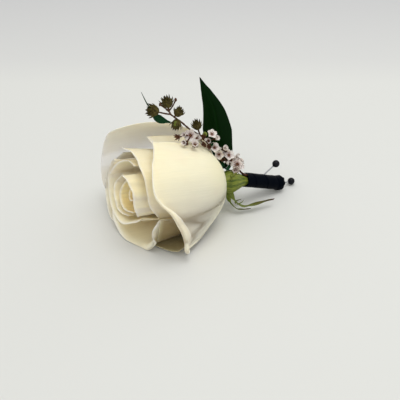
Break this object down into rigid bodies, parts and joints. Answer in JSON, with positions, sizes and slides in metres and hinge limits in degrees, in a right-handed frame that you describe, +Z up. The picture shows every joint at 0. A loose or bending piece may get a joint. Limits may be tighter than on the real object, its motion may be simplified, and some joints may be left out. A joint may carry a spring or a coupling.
{
  "type": "boutonniere",
  "caption": "Cream rose boutonniere with a backing leaf, budded and flowered filler sprigs, a dark ribbon wrap on the stems and ball-headed pins, lying on its side.",
  "frame": {"origin": "middle of the bounding box's bottom face, on the surface the flower lies on", "axes": "+X along the stem from the bloom towards the pinned end of the wrap, +Y towards the side the leaf leans to, +Z up"},
  "size_m": [0.0988, 0.063, 0.0709],
  "materials": {
    "petal_cream": "soft rose petal, cream",
    "sepal_green": "fresh green hip and sepals",
    "leaf_green": "waxy dark green leaf",
    "bud_olive": "dry olive-brown buds and twig",
    "blossom_white": "white-pink small blossoms",
    "ribbon_navy": "satin ribbon, navy-black",
    "pin_steel": "bright pin wire",
    "pin_black": "gloss black ball head"
  },
  "bodies": {
    "root": {"rose_bloom": "petal_cream", "rose_hip": "sepal_green", "broad_leaf": "leaf_green", "sprig_buds": "bud_olive", "sprig_flowers": "blossom_white", "ribbon_wrap": "ribbon_navy", "pin_side_shaft": "pin_steel", "pin_side_head": "pin_black", "pin_end_shaft": "pin_steel", "pin_end_head": "pin_black"}
  },
  "joints": []
}
